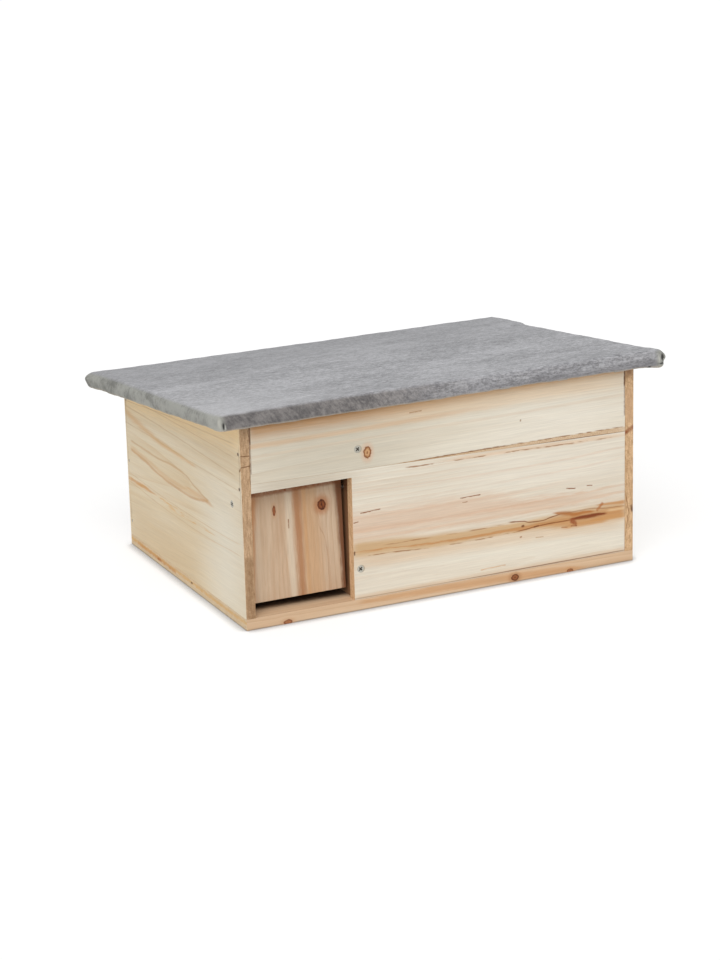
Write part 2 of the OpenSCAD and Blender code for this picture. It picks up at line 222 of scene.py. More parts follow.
def woodMaterial(board):
    # Solid fir: each point, in mm, is so far along the grain, across the face and through the thickness.
    # Growth rings are the distance from a pith line that lies outside the board.
    paint = newPaint(board["name"] + "_fir")
    place = paint.node("TexCoord", {}, {})
    metres = paint.node("SeparateXYZ", {}, {0: paint.wire(place, "Object")})
    facing = paint.node("SeparateXYZ", {}, {0: paint.wire(place, "Normal")})
    along, across, through = (paint.wire(metres, axis) * mmPerMetre for axis in board["axes"])
    seed = board["seed"]
    slow = paint.noise((along * 0.006 + seed, across * 0.012, through * 0.012))
    drift = (slow - 0.5) * board["wander"]
    grained = across + drift + along * board.get("skew", 0.0)

    def grainNoise(run, rise, detail=2.0, roughness=0.5, shift=0.0):
        # Noise drawn out along the grain: run and rise are its steps to the mm along and across.
        stretched = (along * run + seed, grained * rise + shift, through * rise)
        return paint.noise(stretched, detail, roughness)

    def knotDistance(knot):
        # Distance from the knot's middle, in units of its own oval.
        (a, b), (ra, rb) = knot["place"], knot["size"]
        wobble = paint.noise((along * 0.45, across * 0.45, seed), 1.0) * 0.5 - 0.25
        return (((along - a) / ra) ** 2.0 + ((across - b) / rb) ** 2.0) ** 0.5 + wobble

    def drawStrokes(colour, strokes, u, v, face=None, way=1.0):
        # Short straight strokes with round ends, a little uneven, on every face or on the one that faces an
        # axis or, with way -1, away from it.
        wobble = paint.noise((u * 0.25, v * 0.25, seed), 2.0) - 0.5
        u = u + wobble * 0.1
        for mark in strokes:
            (a, b), (c, d) = mark["from"], mark["to"]
            span = math.hypot(c - a, d - b)
            ca, cb = (c - a) / span, (d - b) / span
            side = (v - b) * ca - (u - a) * cb + wobble * mark.get("wander", 1.0)
            beyond = abs((u - a) * ca + (v - b) * cb - span / 2.0) - span / 2.0
            away = (side ** 2.0 + beyond.math("MAXIMUM", 0.0) ** 2.0) ** 0.5
            mask = paint.ramp(away, mark["half"], mark["half"] * mark.get("core", 0.2))
            mask = mask * (wobble * mark.get("uneven", 1.2) + 0.9)
            if face is not None:
                shown = paint.wire(facing, board["axes"][face]) * way
                mask = mask * paint.ramp(shown, *fir["facing"])
            colour = paint.mix(mask * mark["strength"], colour, mark["tone"])
        return colour

    knots = [(knot, knotDistance(knot)) for knot in board.get("knots", [])]
    pithAcross, pithThrough = board["pith"]
    depth = through - pithThrough + along * board["lean"]
    bent = grained
    for knot, distance in knots:
        bent = bent + (across - knot["place"][1]) * paint.ramp(distance, 4.0, 0.8) * -0.45
    reach = ((bent - pithAcross) ** 2.0 + depth ** 2.0) ** 0.5
    uneven = paint.noise((reach * 0.06, seed, 0.0), 1.0) * 2.4
    late = (reach / board["ring"] + uneven).math("FRACT") ** 3.0
    patch = paint.ramp(grainNoise(0.005, 0.03, shift=7.0), 0.35, 0.68)
    lines = late * (patch * 0.8 + 0.2)
    fibre = grainNoise(0.03, 1.3, 3.0, 0.6)
    narrow = paint.ramp(grainNoise(0.006, 0.22, 2.0, 0.6, shift=5.0), 0.32, 0.7)
    broad = paint.ramp(grainNoise(0.0035, 0.028, shift=3.0), 0.3, 0.7)
    pores = paint.ramp(grainNoise(0.07, 0.75, 1.0, shift=11.0), 0.7, 0.8)

    colour = paint.mix(broad * 0.6 + narrow * 0.4, board["pale"], board["deep"])
    colour = paint.mix(lines * board["lineStrength"], colour, board["line"])
    colour = paint.mix(pores * 0.25, colour, board["line"])
    feather = grainNoise(0.05, 0.5, 3.0, 0.6, shift=60.0) - 0.5
    wavering = along + feather * 0.2
    for streak in board.get("streaks", []):
        # A band along a line, with feathered edges, broken up by the grain where it is hatched.
        path, half, fade = streak["path"], streak["half"], streak.get("fade", 8.0)
        half = paint.curve(wavering, half) if isinstance(half, list) else half
        gap = abs(across - paint.curve(wavering, path) + feather * streak["ragged"]) / half
        mask = paint.ramp(gap, 1.0, streak.get("core", 0.2))
        mask = mask * paint.ramp(wavering, path[0][0] - fade, path[0][0] + fade)
        mask = mask * paint.ramp(wavering, path[-1][0] + fade, path[-1][0] - fade)
        if "hatch" in streak:
            run, rise = streak["hatch"]
            hatching = paint.noise((along * run + across * 0.2, across * rise, seed), 2.0)
            mask = mask * paint.ramp(hatching, 0.4, 0.62)
        colour = paint.mix(mask * streak["strength"], colour, streak["tone"])
    for knot, distance in knots:
        # A halo, a ringed heart, a dark rim and a dark pip.
        halo = paint.ramp(distance, knot.get("haloReach", fir["haloReach"]), 0.8)
        strength = knot.get("haloStrength", fir["haloStrength"])
        colour = paint.mix(halo * strength, colour, knot["halo"])
        turned = (distance * 11.0).math("SINE") * 0.2 + 0.22
        heart = paint.mix(turned, knot["core"], knot["edge"])
        colour = paint.mix(paint.ramp(distance, 1.1, 0.85), colour, heart)
        rim = paint.ramp(abs(distance - 0.92), 0.26, 0.05)
        colour = paint.mix(rim * 0.9, colour, knot["edge"])
        pip = paint.ramp(distance, 0.3, 0.1)
        colour = paint.mix(pip * 0.7, colour, knot["edge"])
    colour = drawStrokes(colour, board.get("ticks", []), along, across)
    # The sawn ends are darker, with open fibres and strokes of their own.
    outward = paint.wire(facing, board["axes"][0])
    crosscut = paint.ramp(abs(outward), *fir["facing"])
    sawAcross, sawThrough = board.get("saw", fir["saw"])
    speckle = paint.ramp(paint.noise((along, across, through), 3.0, 0.75, 0.9), 0.36, 0.66)
    sawn = paint.noise((across * sawAcross, through * sawThrough, seed), 3.0, 0.7)
    saw = paint.ramp(sawn, 0.36, 0.66)
    endTone = paint.mix(late * 0.2 + speckle * 0.3 + saw * 0.5, board["end"], board["endLine"])
    colour = paint.mix(crosscut, colour, endTone)
    colour = drawStrokes(colour, board.get("endMarks", []), through, across, 0, -1.0)
    colour = drawStrokes(colour, board.get("topMarks", []), along, through, 1)
    grip = board.get("fibre", fir["fibre"])
    shade = paint.grey(fibre * grip + (1.0 - grip * 0.5))
    colour = paint.mix(1.0, colour, shade, "MULTIPLY")
    roughness = fibre * 0.2 + 0.55
    height = fibre * 0.6 + late * 0.25 + crosscut * speckle * 0.8
    return paint.finish(colour, roughness, height, fir["relief"], {"Specular IOR Level": fir["shine"]})


def placePiece(spec, mesh, material):
    # The mesh as a piece that rides with its body in the node's place.
    piece = bpy.data.objects.new(spec["name"], mesh)
    scene.collection.objects.link(piece)
    mesh.materials.append(material)
    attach(piece, spec["body"])
    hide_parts(spec["node"])
    return piece


def easedBoard(board):
    # A copy of the board with its long edges eased, so they catch the light as planed edges do.
    made = bmesh.new()
    made.from_mesh(frame["nodes"][board["node"]].data)
    bmesh.ops.remove_doubles(made, verts=made.verts, dist=1e-6)
    bmesh.ops.dissolve_limit(made, angle_limit=math.radians(1.0), verts=made.verts, edges=made.edges)
    edges = [edge for edge in made.edges if edge.is_manifold and edge.calc_length() > 0.006]
    sharp = [edge for edge in edges if edge.calc_face_angle() > math.radians(40.0)]
    ease = board.get("ease", fir["ease"])
    bmesh.ops.bevel(
        made, geom=sharp, offset=ease, segments=2, profile=0.6, affect="EDGES", clamp_overlap=True
    )
    mesh = bpy.data.meshes.new(board["name"])
    made.to_mesh(mesh)
    made.free()
    return placePiece(board, mesh, woodMaterial(board))


def band(path, half, colour, strength, ragged, **more):
    # A streak along a path, half its width to each side, with edges that the grain frays.
    return {"path": path, "half": half, "tone": colour, "strength": strength, "ragged": ragged, **more}


def stroke(start, stop, half, colour, strength, **more):
    # A straight mark from start to stop, with round ends of radius half.
    return {"from": start, "to": stop, "half": half, "tone": colour, "strength": strength, **more}


def knotAt(place, size, core, edge, halo, **more):
    # An oval knot of half lengths size, and its three tones from the middle out.
    return {"place": place, "size": size, "core": core, "edge": edge, "halo": halo, **more}


# Boards. Places are in mm: along the grain, then across the face. End marks are through, then across, on the
# end that faces the front or the left, and top marks along, then through.
frontUpper = {
    "name": "front_upper_wood", "node": "front_upper_board", "slot": "front_wood", "body": "house",
    "axes": (0, 2, 1), "seed": 3.1, "pith": (142, -116), "ring": 5, "lean": 0.012, "wander": 6,
    "pale": (227, 219, 202), "deep": (215, 204, 184), "line": (206, 182, 152), "lineStrength": 0.45,
    "end": (190, 158, 122), "endLine": (150, 114, 78), "fibre": 0.34, "ease": 0.00012,
    "streaks": [
        # greyer wood on the left, paler on the right
        band([(-198, 160), (-40, 150)], 60, (194, 186, 168), 0.55, 8, fade=60),
        band([(60, 155), (198, 150)], 52, (234, 227, 213), 0.55, 8, fade=60),
        # orange along the top edge: warm wood, and painted shade under the roof
        band([(-198, 197), (-60, 197), (60, 198), (198, 199)], [(-198, 23), (-60, 19), (60, 13), (198, 11)],
             (208, 158, 106), 0.95, 6, core=0.1),
        band([(-60, 188), (60, 188), (198, 188)], 16, (240, 206, 165), 0.5, 6, fade=60),
        band([(-290, 174), (-60, 176.6), (30, 178.2)], 3.6, (214, 178, 140), 0.6, 3, fade=70),
        band([(-198, 165), (-60, 167), (60, 168), (198, 171)], 2.2, (216, 192, 164), 0.3, 2.4),
        # brown painted shadow under the felt's edge, where the roof rests
        band([(-198, 198.4), (60, 198.4), (198, 198.4)], [(-198, 9), (-40, 7.4), (60, 6), (198, 6)],
             (108, 68, 38), 0.72, 1.6, core=0.15),
        # rough sawn wedge above the joint, tan with fine strokes, and its broken brown upper edge
        band([(-50, 137.3), (17, 136.8), (60, 136.5), (114, 136.1), (169, 135.6), (198, 135.4)],
             [(-50, 0.7), (17, 1.6), (60, 2), (114, 2.5), (169, 3), (198, 3.2)],
             (208, 174, 134), 0.72, 0.8, fade=14, core=0.7),
        band([(-20, 137), (60, 136.8), (114, 136.4), (198, 135.8)],
             [(-20, 1.2), (60, 1.8), (114, 2.2), (198, 2.6)],
             (178, 136, 92), 0.5, 1.6, hatch=(2.1, 0.5), fade=14, core=0.3),
        band([(-44, 137.5), (17, 138), (60, 138.2), (114, 138.2), (198, 138.2)],
             0.9, (140, 96, 54), 0.8, 1.4, hatch=(0.14, 0.4), fade=10),
        band([(-34, 137.4), (17, 137.8), (70, 138)], 0.8, (128, 86, 46), 0.65, 1, fade=16),
        # the joint itself
        band([(-196, 139.4), (198, 132.9)], 0.8, (176, 142, 106), 0.5, 0.4),
        band([(96, 134.6), (198, 132.9)], 1.1, (104, 62, 34), 0.9, 0.5, fade=30),
    ],
    "ticks": [
        stroke((-34.9, 184.6), (-22.9, 185), 1, (164, 110, 66), 0.6),
        # painted shade round the countersunk screw head
        stroke((-88.9, 157.5), (-88.6, 157.5), 4.1, (150, 132, 106), 0.7, core=0.8, wander=0.3),
        stroke((81.8, 160.2), (82, 161), 1.1, (150, 120, 92), 0.8),
        # the open seam beside each side wall, stained dark and painted as the gap's shade
        stroke((-196.4, 200), (-196.4, 178), 1.2, (92, 56, 30), 0.8, wander=0.6),
        stroke((-196.4, 200), (-196.4, 150), 1.1, (112, 72, 40), 0.6, wander=0.6),
        stroke((196.4, 200), (196.4, 180), 1.5, (92, 56, 30), 0.9, wander=0.6),
        stroke((196.4, 200), (196.4, 150), 1.2, (112, 72, 40), 0.6, wander=0.6),
    ],
    "knots": [
        knotAt((-79.3, 152.9), (3.7, 5.5), (208, 162, 116), (128, 76, 42), (212, 168, 134)),
    ],
}

frontLower = {
    "name": "front_lower_wood", "node": "front_lower_board", "slot": "front_wood", "body": "house",
    "axes": (0, 2, 1), "seed": 9.4, "pith": (22, -120), "ring": 5.6, "lean": -0.01, "wander": 6,
    "pale": (229, 222, 206), "deep": (219, 208, 190), "line": (208, 182, 154), "lineStrength": 0.42,
    "end": (240, 206, 166), "endLine": (190, 148, 104), "fibre": 0.34, "ease": 0.00012,
    "streaks": [
        # greyer wood over the entrance
        band([(-198, 136), (-100, 134)], 12, (192, 180, 160), 0.62, 3, fade=30),
        # paler wood at the upper right, pinkish wood over the resin band
        band([(30, 114), (198, 108)], 26, (232, 224, 209), 0.55, 8, fade=50),
        band([(-180, 82), (0, 81), (100, 75), (170, 73)], [(-180, 27), (10, 26), (90, 15), (170, 10)],
             (212, 178, 150), 0.64, 18, core=0, fade=80),
        band([(-160, 92), (60, 90), (120, 92)], 3, (214, 178, 148), 0.32, 4, fade=60),
        band([(-98, 78), (60, 77), (198, 80)], [(-98, 4), (60, 2), (198, 1.6)], (212, 172, 140), 0.4, 5),
        band([(-98, 70), (60, 69), (198, 73)], 2.4, (214, 176, 144), 0.36, 4),
        band([(60, 103), (130, 104), (198, 108)], 1.6, (214, 180, 152), 0.22, 3, fade=30),
        band([(-98, 116), (60, 114), (198, 118)], 1.6, (216, 190, 166), 0.4, 3),
        # brown strokes and a pink smear under the joint
        band([(0, 132.6), (60, 132.2), (114, 131.4), (198, 130.2)], [(0, 2), (114, 3), (198, 3)],
             (222, 190, 158), 0.6, 3, fade=24),
        band([(-44, 132.2), (17, 131.6), (60, 131.3), (114, 130.4), (180, 129.2)],
             0.95, (152, 104, 62), 0.8, 2, hatch=(0.11, 0.36)),
        # the resin band: a soft tan stain
        band([(-98, 48), (-5, 45), (80, 45), (150, 43.6), (198, 44)],
             [(-98, 10), (-5, 9), (80, 11), (150, 12), (198, 12)], (214, 182, 146), 0.5, 6, core=0, fade=20),
        band([(-98, 60.4), (-48, 58.2), (-5, 55.4), (59, 55), (100, 54.6), (137, 54), (198, 54.2)],
             [(-98, 11.5), (-48, 10.5), (-5, 9.5), (59, 8), (100, 8.8), (137, 12.5), (198, 13.5)],
             (202, 166, 121), 0.9, 4, core=0.3),
        band([(-98, 58), (-48, 56), (-5, 53.6), (59, 53), (137, 53.4), (198, 53.4)],
             [(-98, 1.2), (-5, 1.8), (80, 3.2), (110, 5.6), (137, 8.6), (198, 8)],
             (190, 130, 72), 0.7, 6, core=0),
        # its orange lobes
        band([(118, 62.8), (134, 59.8), (143, 57.8), (151, 58.4), (162, 57.8)],
             [(118, 1.5), (134, 3.8), (151, 2.8), (162, 1.4)], (172, 106, 48), 0.85, 2, core=0.1, fade=4),
        band([(130, 46.8), (151, 47), (176, 46.7)], 4, (196, 142, 86), 0.75, 3, fade=6),
        band([(160, 48.8), (175.5, 48.8), (198, 48.4)], [(160, 2), (175, 3.6), (198, 4.4)],
             (198, 144, 88), 0.7, 3, fade=6),
        band([(166, 63.2), (174, 62.9), (198, 61.9)], [(166, 1.2), (174, 2), (198, 3)],
             (194, 138, 82), 0.8, 2, fade=4),
        band([(178, 55.8), (198, 55.4)], 1.8, (224, 190, 146), 0.7, 1, fade=4),
        # its broken brown edges and cracks
        band([(-60, 60.4), (-5, 60), (9.5, 59.4), (48.7, 59.7), (76.2, 61)],
             0.9, (158, 108, 62), 0.75, 1.6, hatch=(0.07, 0.4)),
        band([(-87, 53), (-48, 51.6), (-5, 49.4), (26, 49.3), (59, 49.9), (78, 50.8)],
             0.9, (152, 102, 58), 0.8, 1.4, hatch=(0.09, 0.4)),
        band([(70, 61.3), (85, 59.7), (91.5, 57.8), (102, 57.3), (114, 59), (124.6, 60.4)],
             0.9, (128, 76, 38), 0.9, 1, fade=4),
        band([(78, 50.8), (88.8, 51.5), (98.1, 52.5), (113.9, 53), (136, 52.8)],
             0.9, (136, 84, 44), 0.9, 1.2, fade=4),
        band([(126, 60.6), (155, 61), (174, 58.8), (198, 57.9)], 0.8, (150, 98, 56), 0.6, 1.4, fade=6),
        # the dark knot wood in it
        band([(136, 53.4), (151, 53.7), (167, 53.6), (176, 53.4)],
             [(136, 1.8), (143, 2.4), (151, 3), (159, 3.2), (167, 2.4), (176, 1)],
             (118, 50, 16), 0.92, 3.2, fade=3, core=0.15),
        # warm wood near the floor
        band([(-98, 13), (198, 13)], 4, (206, 170, 130), 0.4, 3),
        # the open joint with the floor
        band([(-98, 12.1), (198, 12.1)], 0.9, (140, 98, 60), 0.5, 0.4),
        band([(40, 12.1), (198, 12.1)], 1, (110, 66, 34), 0.5, 0.5, fade=40),
    ],
    "ticks": [
        # painted shade round the countersunk screw head
        stroke((-88.9, 41), (-88.6, 41), 4.1, (150, 132, 106), 0.7, core=0.8, wander=0.3),
        stroke((-95.2, 56), (-95.2, 58), 1.6, (96, 58, 32), 0.9),
        stroke((-87.8, 95.2), (-67.8, 96.2), 0.8, (138, 84, 44), 1),
        stroke((16.9, 93.4), (37.7, 94), 0.8, (138, 84, 44), 1),
        stroke((19, 89), (24, 89.2), 0.6, (150, 104, 72), 0.8),
        stroke((132, 85.4), (141.4, 84.1), 0.8, (138, 84, 44), 1),
        stroke((154.8, 84.8), (160.2, 84.2), 0.8, (138, 84, 44), 1),
        stroke((-95, 86.8), (-90.6, 87.2), 0.8, (138, 84, 44), 1),
        stroke((83.2, 55), (84.2, 55.2), 1.9, (112, 62, 32), 1),
        stroke((96.1, 52.2), (100.5, 52.6), 1.2, (112, 62, 32), 0.9),
        stroke((138.6, 51.6), (141, 48.4), 4.2, (150, 82, 46), 0.95, wander=3),
        stroke((137, 46.6), (143, 46), 1, (134, 70, 38), 0.8),
        stroke((126.5, 46.9), (132.5, 46.3), 0.9, (170, 116, 72), 0.8),
        stroke((98, 41.3), (105.9, 40.8), 0.8, (186, 154, 120), 0.8),
        stroke((81, 44.4), (81.8, 44.6), 1.4, (160, 108, 70), 0.8),
        stroke((166.3, 58.4), (171.5, 63.9), 2.4, (172, 106, 58), 0.8, wander=2),
        stroke((38, 18.4), (64, 19.2), 1, (208, 170, 130), 0.8),
    ],
}

leftWall = {
    "name": "left_wall_wood", "node": "left_wall", "slot": "side_wood", "body": "house",
    "axes": (1, 2, 0), "seed": 5.7, "pith": (106, -150), "ring": 6.5, "lean": 0.03, "skew": 0.045,
    "wander": 8, "fibre": 0.3,
    "pale": (228, 214, 188), "deep": (220, 200, 166), "line": (206, 172, 126), "lineStrength": 0.36,
    "end": (208, 174, 138), "endLine": (152, 118, 84),
    "streaks": [
        # paler, greyer wood towards the front
        band([(-160, 60), (-70, 60)], 110, (231, 224, 207), 0.8, 20, fade=50),
        # warm wood along the top, painted lighter there against the roof's shade, and warm wood low down
        # towards the back
        band([(-160, 196), (0, 180), (140, 166)], 34, (254, 225, 176), 0.9, 14),
        band([(-40, 26), (140, 26)], 36, (206, 180, 140), 0.4, 12, fade=40),
        # the flame of the grain
        band([(-75, 103.4), (-62.7, 105.4), (-40.1, 109.6), (-12.7, 115), (6.2, 115.6), (55.3, 112.8),
              (126.2, 112.6)], 1.7, (192, 150, 100), 0.5, 2.4, fade=3),
        band([(-75, 102.8), (-52.8, 98.9), (-15.1, 95.3), (32.9, 95.7), (91.9, 101), (127.4, 103.3)],
             2.2, (194, 144, 92), 0.56, 2.8, fade=3),
        band([(-86, 101), (-66, 102.6), (-20, 103)], [(-86, 1.6), (-66, 4), (-20, 2)],
             (208, 164, 114), 0.5, 2),
        band([(-50, 99.4), (21, 99), (70.5, 102.4), (127, 105.4)], 3.6, (212, 170, 118), 0.42, 4),
        # orange streak under it
        band([(-90, 73), (-57, 72.2), (0, 71.3), (74.5, 72.2), (126.5, 71.2), (138, 71)],
             [(-90, 0.8), (-20, 3.4), (10, 4.2), (60, 2.4), (100, 4.4), (138, 5.6)],
             (218, 170, 100), 0.7, 5, core=0, hatch=(0.06, 0.3)),
        band([(66, 72.3), (100, 72), (138, 70.8)], [(66, 1), (100, 2.8), (138, 2.4)],
             (200, 140, 74), 0.62, 2, fade=14),
        # fine lines, about level, and a wide warm band
        band([(-45, 129.9), (-19, 130.2), (28.5, 130.4), (77.5, 133.4), (112.5, 137), (138, 140.4)],
             [(-45, 1.5), (-12, 3), (76, 5.5), (138, 7)], (212, 166, 108), 0.55, 5, core=0),
        band([(-142, 145.9), (-60.9, 146.8), (24.7, 147.7), (138, 146.4)], 1.1, (194, 158, 110), 0.4, 1.6),
        band([(-139, 162.9), (-15.6, 161.3), (138, 156.6)], 0.9, (194, 158, 110), 0.36, 1.6),
        band([(-140, 175.6), (-1.7, 165.3), (138, 151.8)], 1, (194, 158, 110), 0.34, 1.6),
        band([(-149, 133.6), (-45.2, 131.8), (51.7, 130.8), (138, 129.2)], 0.9, (194, 158, 110), 0.38, 1.6),
        band([(-148, 81.5), (-62.4, 77.3), (33.8, 75.4), (138, 77)], 0.8, (198, 162, 114), 0.36, 1.6),
        band([(-147, 70.4), (10.6, 64.6), (138, 68)], 0.8, (202, 166, 120), 0.4, 2),
    ],
    "ticks": [
        # a chipped corner
        stroke((-158, 156), (-155, 153), 1.6, (160, 122, 82), 0.9),
    ],
    "endMarks": [
        stroke((-201, 14), (-201, 66), 8, (124, 88, 52), 0.48),
        stroke((-206, 167.5), (-197, 166.8), 0.8, (112, 76, 44), 1),
        stroke((-206, 157), (-197, 157.6), 0.8, (112, 76, 44), 0.9),
        # painted shade of the open seam beside the front boards
        stroke((-196.9, 197), (-196.9, 140), 0.9, (84, 54, 30), 0.9),
    ],
}

rightWall = {
    **leftWall,
    "name": "right_wall_wood", "node": "right_wall",
    "seed": 8.3, "pith": (60, 150), "lean": -0.04,
    "end": (230, 194, 152), "endLine": (164, 124, 84),
    "streaks": [],
    "ticks": [],
    "endMarks": [
        stroke((197.5, 131.8), (206, 136.4), 3.4, (140, 78, 42), 0.85),
        stroke((201.5, 146), (201.5, 172), 6, (198, 160, 124), 0.7),
        stroke((201.5, 192), (201.5, 206), 7, (150, 108, 78), 0.7),
        stroke((204.6, 56.6), (205.6, 51.6), 2, (104, 66, 38), 0.9),
        stroke((198.6, 68), (201.6, 52), 0.8, (146, 102, 62), 0.8),
        stroke((201.6, 52), (198.8, 34), 0.8, (146, 102, 62), 0.8),
        # painted shade of the open seam beside the front boards
        stroke((196.9, 197), (196.9, 14), 0.8, (128, 88, 54), 0.7),
    ],
}

backWall = {
    **frontUpper,
    "name": "back_wall_wood", "node": "back_wall", "slot": "side_wood",
    "seed": 14.2, "pith": (70, 90), "lean": 0.05,
    "pale": (230, 214, 184), "deep": (222, 200, 162), "line": (204, 168, 118),
    "streaks": [
        band([(-198, 128), (-20, 124), (198, 131)], 2.4, (204, 162, 112), 0.5, 4),
        band([(-198, 60), (10, 66), (198, 58)], [(-198, 6), (10, 3), (198, 8)],
             (208, 166, 114), 0.5, 6, core=0),
    ],
    "ticks": [],
    "knots": [
        knotAt((96, 92), (6, 4.6), (176, 122, 76), (122, 74, 42), (206, 160, 112)),
    ],
}

partitionWall = {
    **rightWall,
    "name": "partition_wood", "node": "partition_wall",
    "seed": 21, "pith": (40, -40),
    # darker wood than the side walls, partly painted shade of the closed inside
    "pale": (214, 186, 150), "deep": (196, 164, 126),
    "endMarks": [],
    # painted shade beside the flap, where the closed house is dark inside
    "streaks": [
        band([(-150, 70), (-126, 70)], 160, (124, 80, 50), 0.88, 6, fade=10),
        band([(-150, 128), (-126, 128)], 22, (96, 60, 36), 0.8, 4, fade=10),
    ],
}

floorBoard = {
    "name": "floor_wood", "node": "floor_board", "slot": "floor_wood", "body": "house",
    "axes": (0, 2, 1), "seed": 17.5, "pith": (62, -60), "ring": 4.4, "lean": 0.01, "wander": 7,
    "pale": (221, 194, 163), "deep": (206, 174, 141), "line": (180, 140, 102), "lineStrength": 0.5,
    "end": (224, 204, 173), "endLine": (204, 174, 134), "saw": (0.6, 0.08),
    "streaks": [
        # painted contact shade along the ground, brown along the joint
        band([(-206, 0.2), (206, 0.2)], 1.5, (132, 120, 110), 0.7, 0.8),
        band([(-90, 11.4), (206, 11.4)], 0.8, (140, 96, 58), 0.5, 0.6),
        band([(-90, 8), (0, 7), (80, 5), (150, 2)], [(-90, 3), (0, 5), (80, 6), (150, 3)],
             (196, 146, 98), 0.6, 4),
    ],
    "knots": [
        knotAt((74.6, 4.6), (4, 3.2), (150, 92, 54), (92, 50, 28), (166, 112, 68)),
        knotAt((135.5, 0.8), (3.4, 2.4), (170, 112, 70), (124, 76, 46), (196, 146, 100)),
        knotAt((-165, 1.8), (4.4, 2.2), (170, 112, 74), (120, 72, 46), (196, 150, 110)),
    ],
    "endMarks": [
        stroke((-157, 7), (142, 7), 2.6, (214, 168, 96), 0.66, wander=3.6),
        stroke((20, 5.8), (120, 6.4), 2.6, (200, 142, 80), 0.7, wander=4),
        stroke((58, 5.4), (66, 5.6), 2.4, (178, 108, 52), 0.9),
        stroke((-25, 6.8), (-22, 6.8), 1.5, (100, 62, 34), 1),
        # painted contact shade along the ground
        stroke((-157, 0.2), (142, 0.2), 1.5, (132, 120, 110), 0.8),
    ],
    # painted shadow on the floor under the flap, where the closed house is dark inside
    "topMarks": [
        stroke((-196, -121), (-95, -126), 21, (52, 31, 19), 0.98, core=0.25, wander=3, uneven=0.2),
    ],
}

roofBoard = {
    **floorBoard,
    "name": "roof_wood", "node": "roof_board", "slot": "side_wood", "body": "roof",
    "axes": (0, 1, 2), "seed": 27.7, "pith": (40, 260),
    "streaks": [],
    "knots": [],
    "endMarks": [],
    "topMarks": [],
    "pale": (228, 208, 174), "deep": (216, 190, 152),
}

entranceFlap = {
    "name": "flap_wood", "node": "entrance_flap", "slot": "flap_wood", "body": "flap",
    "axes": (2, 0, 1), "seed": 31.9, "pith": (-178, -190), "ring": 4.6, "lean": 0.003, "wander": 4,
    "pale": (212, 190, 164), "deep": (190, 158, 128), "line": (170, 124, 88), "lineStrength": 0.55,
    "end": (190, 154, 116), "endLine": (150, 110, 76), "fibre": 0.34,
    "streaks": [
        band([(10, -128), (70, -130), (130, -132)], 15, (194, 150, 106), 0.6, 6),
        band([(10, -141.4), (70, -142.6), (130, -143.6)], [(10, 5), (70, 7), (130, 8.5)],
             (168, 114, 72), 0.8, 6, core=0.1),
        band([(10, -150.5), (70, -151.4), (130, -152)], 5, (220, 206, 184), 0.55, 2),
        band([(10, -134.4), (70, -135.4), (130, -136)], 3, (200, 152, 104), 0.5, 3),
        band([(16, -114), (60, -115), (84, -122)], 0.9, (166, 120, 86), 0.35, 2),
        # stained along the left edge, widest at the top, and darker along the right edge
        band([(20, -192), (80, -190.4), (123, -188.6)], [(20, 3.5), (80, 6), (105, 8), (123, 14)],
             (190, 126, 72), 0.8, 4, core=0),
        band([(10, -96.6), (60, -96.6), (130, -97)], [(10, 5.2), (60, 7.4), (100, 9.6), (130, 12)],
             (116, 70, 40), 0.94, 5, core=0.4),
    ],
    "ticks": [
        stroke((86, -152.6), (94, -152.4), 0.9, (140, 92, 62), 0.8),
        stroke((108.2, -118.8), (98.7, -117), 0.8, (60, 30, 16), 0.8),
        # painted shade along the flap's top, under the lintel
        stroke((122.4, -194), (123.4, -99), 4.2, (140, 84, 48), 0.85, wander=3),
    ],
    "knots": [
        knotAt((103, -118.2), (4.8, 4), (140, 78, 42), (84, 42, 24), (176, 112, 66),
               haloReach=2.8, haloStrength=0.8),
        knotAt((104.5, -166.4), (4.6, 1.5), (160, 98, 62), (120, 68, 42), (196, 150, 112)),
    ],
}

boards = [
    frontUpper, frontLower, leftWall, rightWall, backWall, partitionWall, floorBoard, roofBoard, entranceFlap
]
woodPieces = [easedBoard(board) for board in boards]
print("boards made", len(woodPieces))

